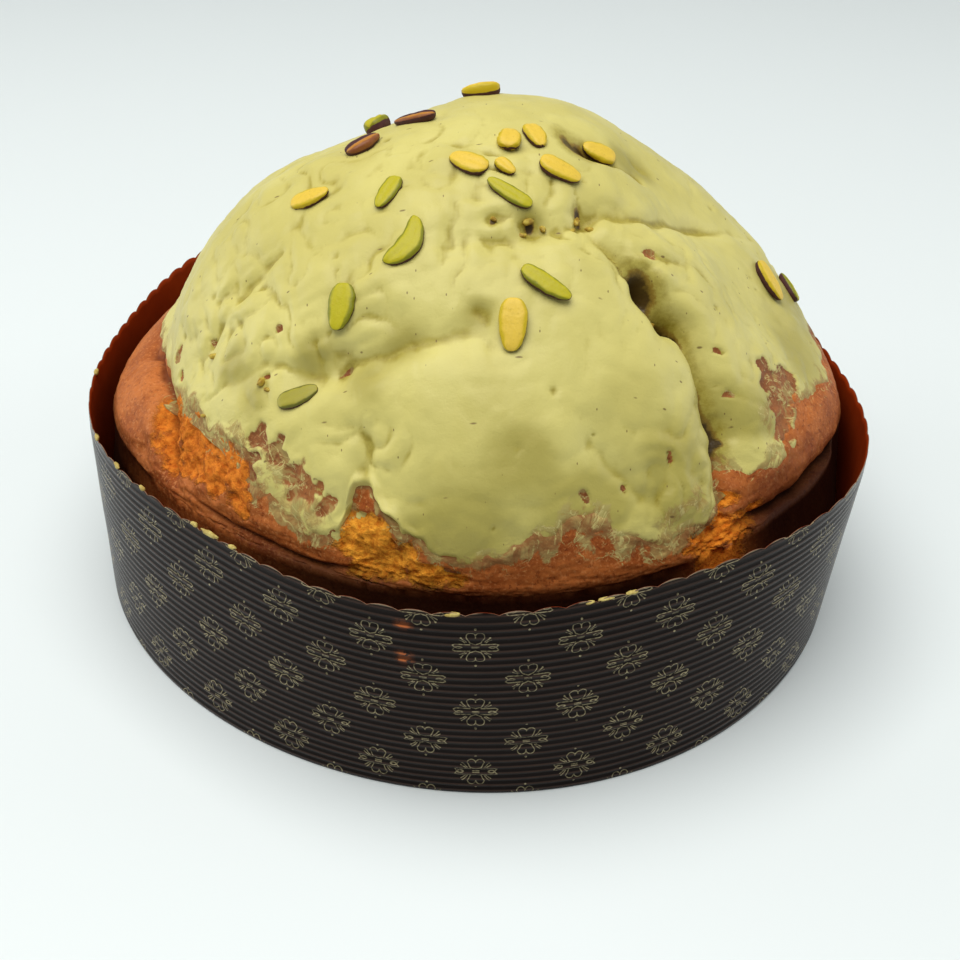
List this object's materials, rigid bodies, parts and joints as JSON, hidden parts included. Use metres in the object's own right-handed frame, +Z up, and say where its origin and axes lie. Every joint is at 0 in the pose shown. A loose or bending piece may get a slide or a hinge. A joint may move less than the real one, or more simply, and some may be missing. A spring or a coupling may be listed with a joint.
{
  "type": "panettone in its paper case",
  "caption": "Low domed sweet loaf with a ragged pale green pistachio glaze and scattered pistachio kernels, standing in an open ribbed paper baking case.",
  "frame": {"origin": "middle of the flat foot of the paper case, on the surface it stands on", "axes": "+Z up through the dome, -Y towards the shown front, +X to the right of the front"},
  "size_m": [0.2193, 0.2198, 0.1371],
  "materials": {
    "case_paper": "dark brown printed paper, finely ribbed",
    "crust": "baked crust, red brown, slightly shiny",
    "pistachio_glaze": "set pale green glaze, soft sheen",
    "kernel_yellow": "dry nut",
    "kernel_green": "dry nut",
    "kernel_skin": "thin dry nut skin"
  },
  "bodies": {
    "root": {"paper_case": "case_paper", "bread": "crust", "glaze": "pistachio_glaze", "pistachio_01": "kernel_yellow", "pistachio_02": "kernel_green", "pistachio_03": "kernel_skin", "pistachio_04": "kernel_yellow", "pistachio_05": "kernel_green", "pistachio_06": "kernel_green", "pistachio_07": "kernel_green", "pistachio_08": "kernel_green", "pistachio_09": "kernel_yellow", "pistachio_10": "kernel_yellow", "pistachio_11": "kernel_green", "pistachio_12": "kernel_yellow", "pistachio_13": "kernel_yellow", "pistachio_14": "kernel_yellow", "pistachio_15": "kernel_yellow", "pistachio_16": "kernel_green", "pistachio_17": "kernel_yellow", "pistachio_18": "kernel_yellow", "pistachio_19": "kernel_green", "pistachio_20": "kernel_skin", "pistachio_21": "kernel_yellow", "pistachio_22": "kernel_green", "pistachio_23": "kernel_green", "pistachio_24": "kernel_yellow", "pistachio_25": "kernel_green", "pistachio_26": "kernel_green", "pistachio_27": "kernel_yellow"}
  },
  "joints": []
}
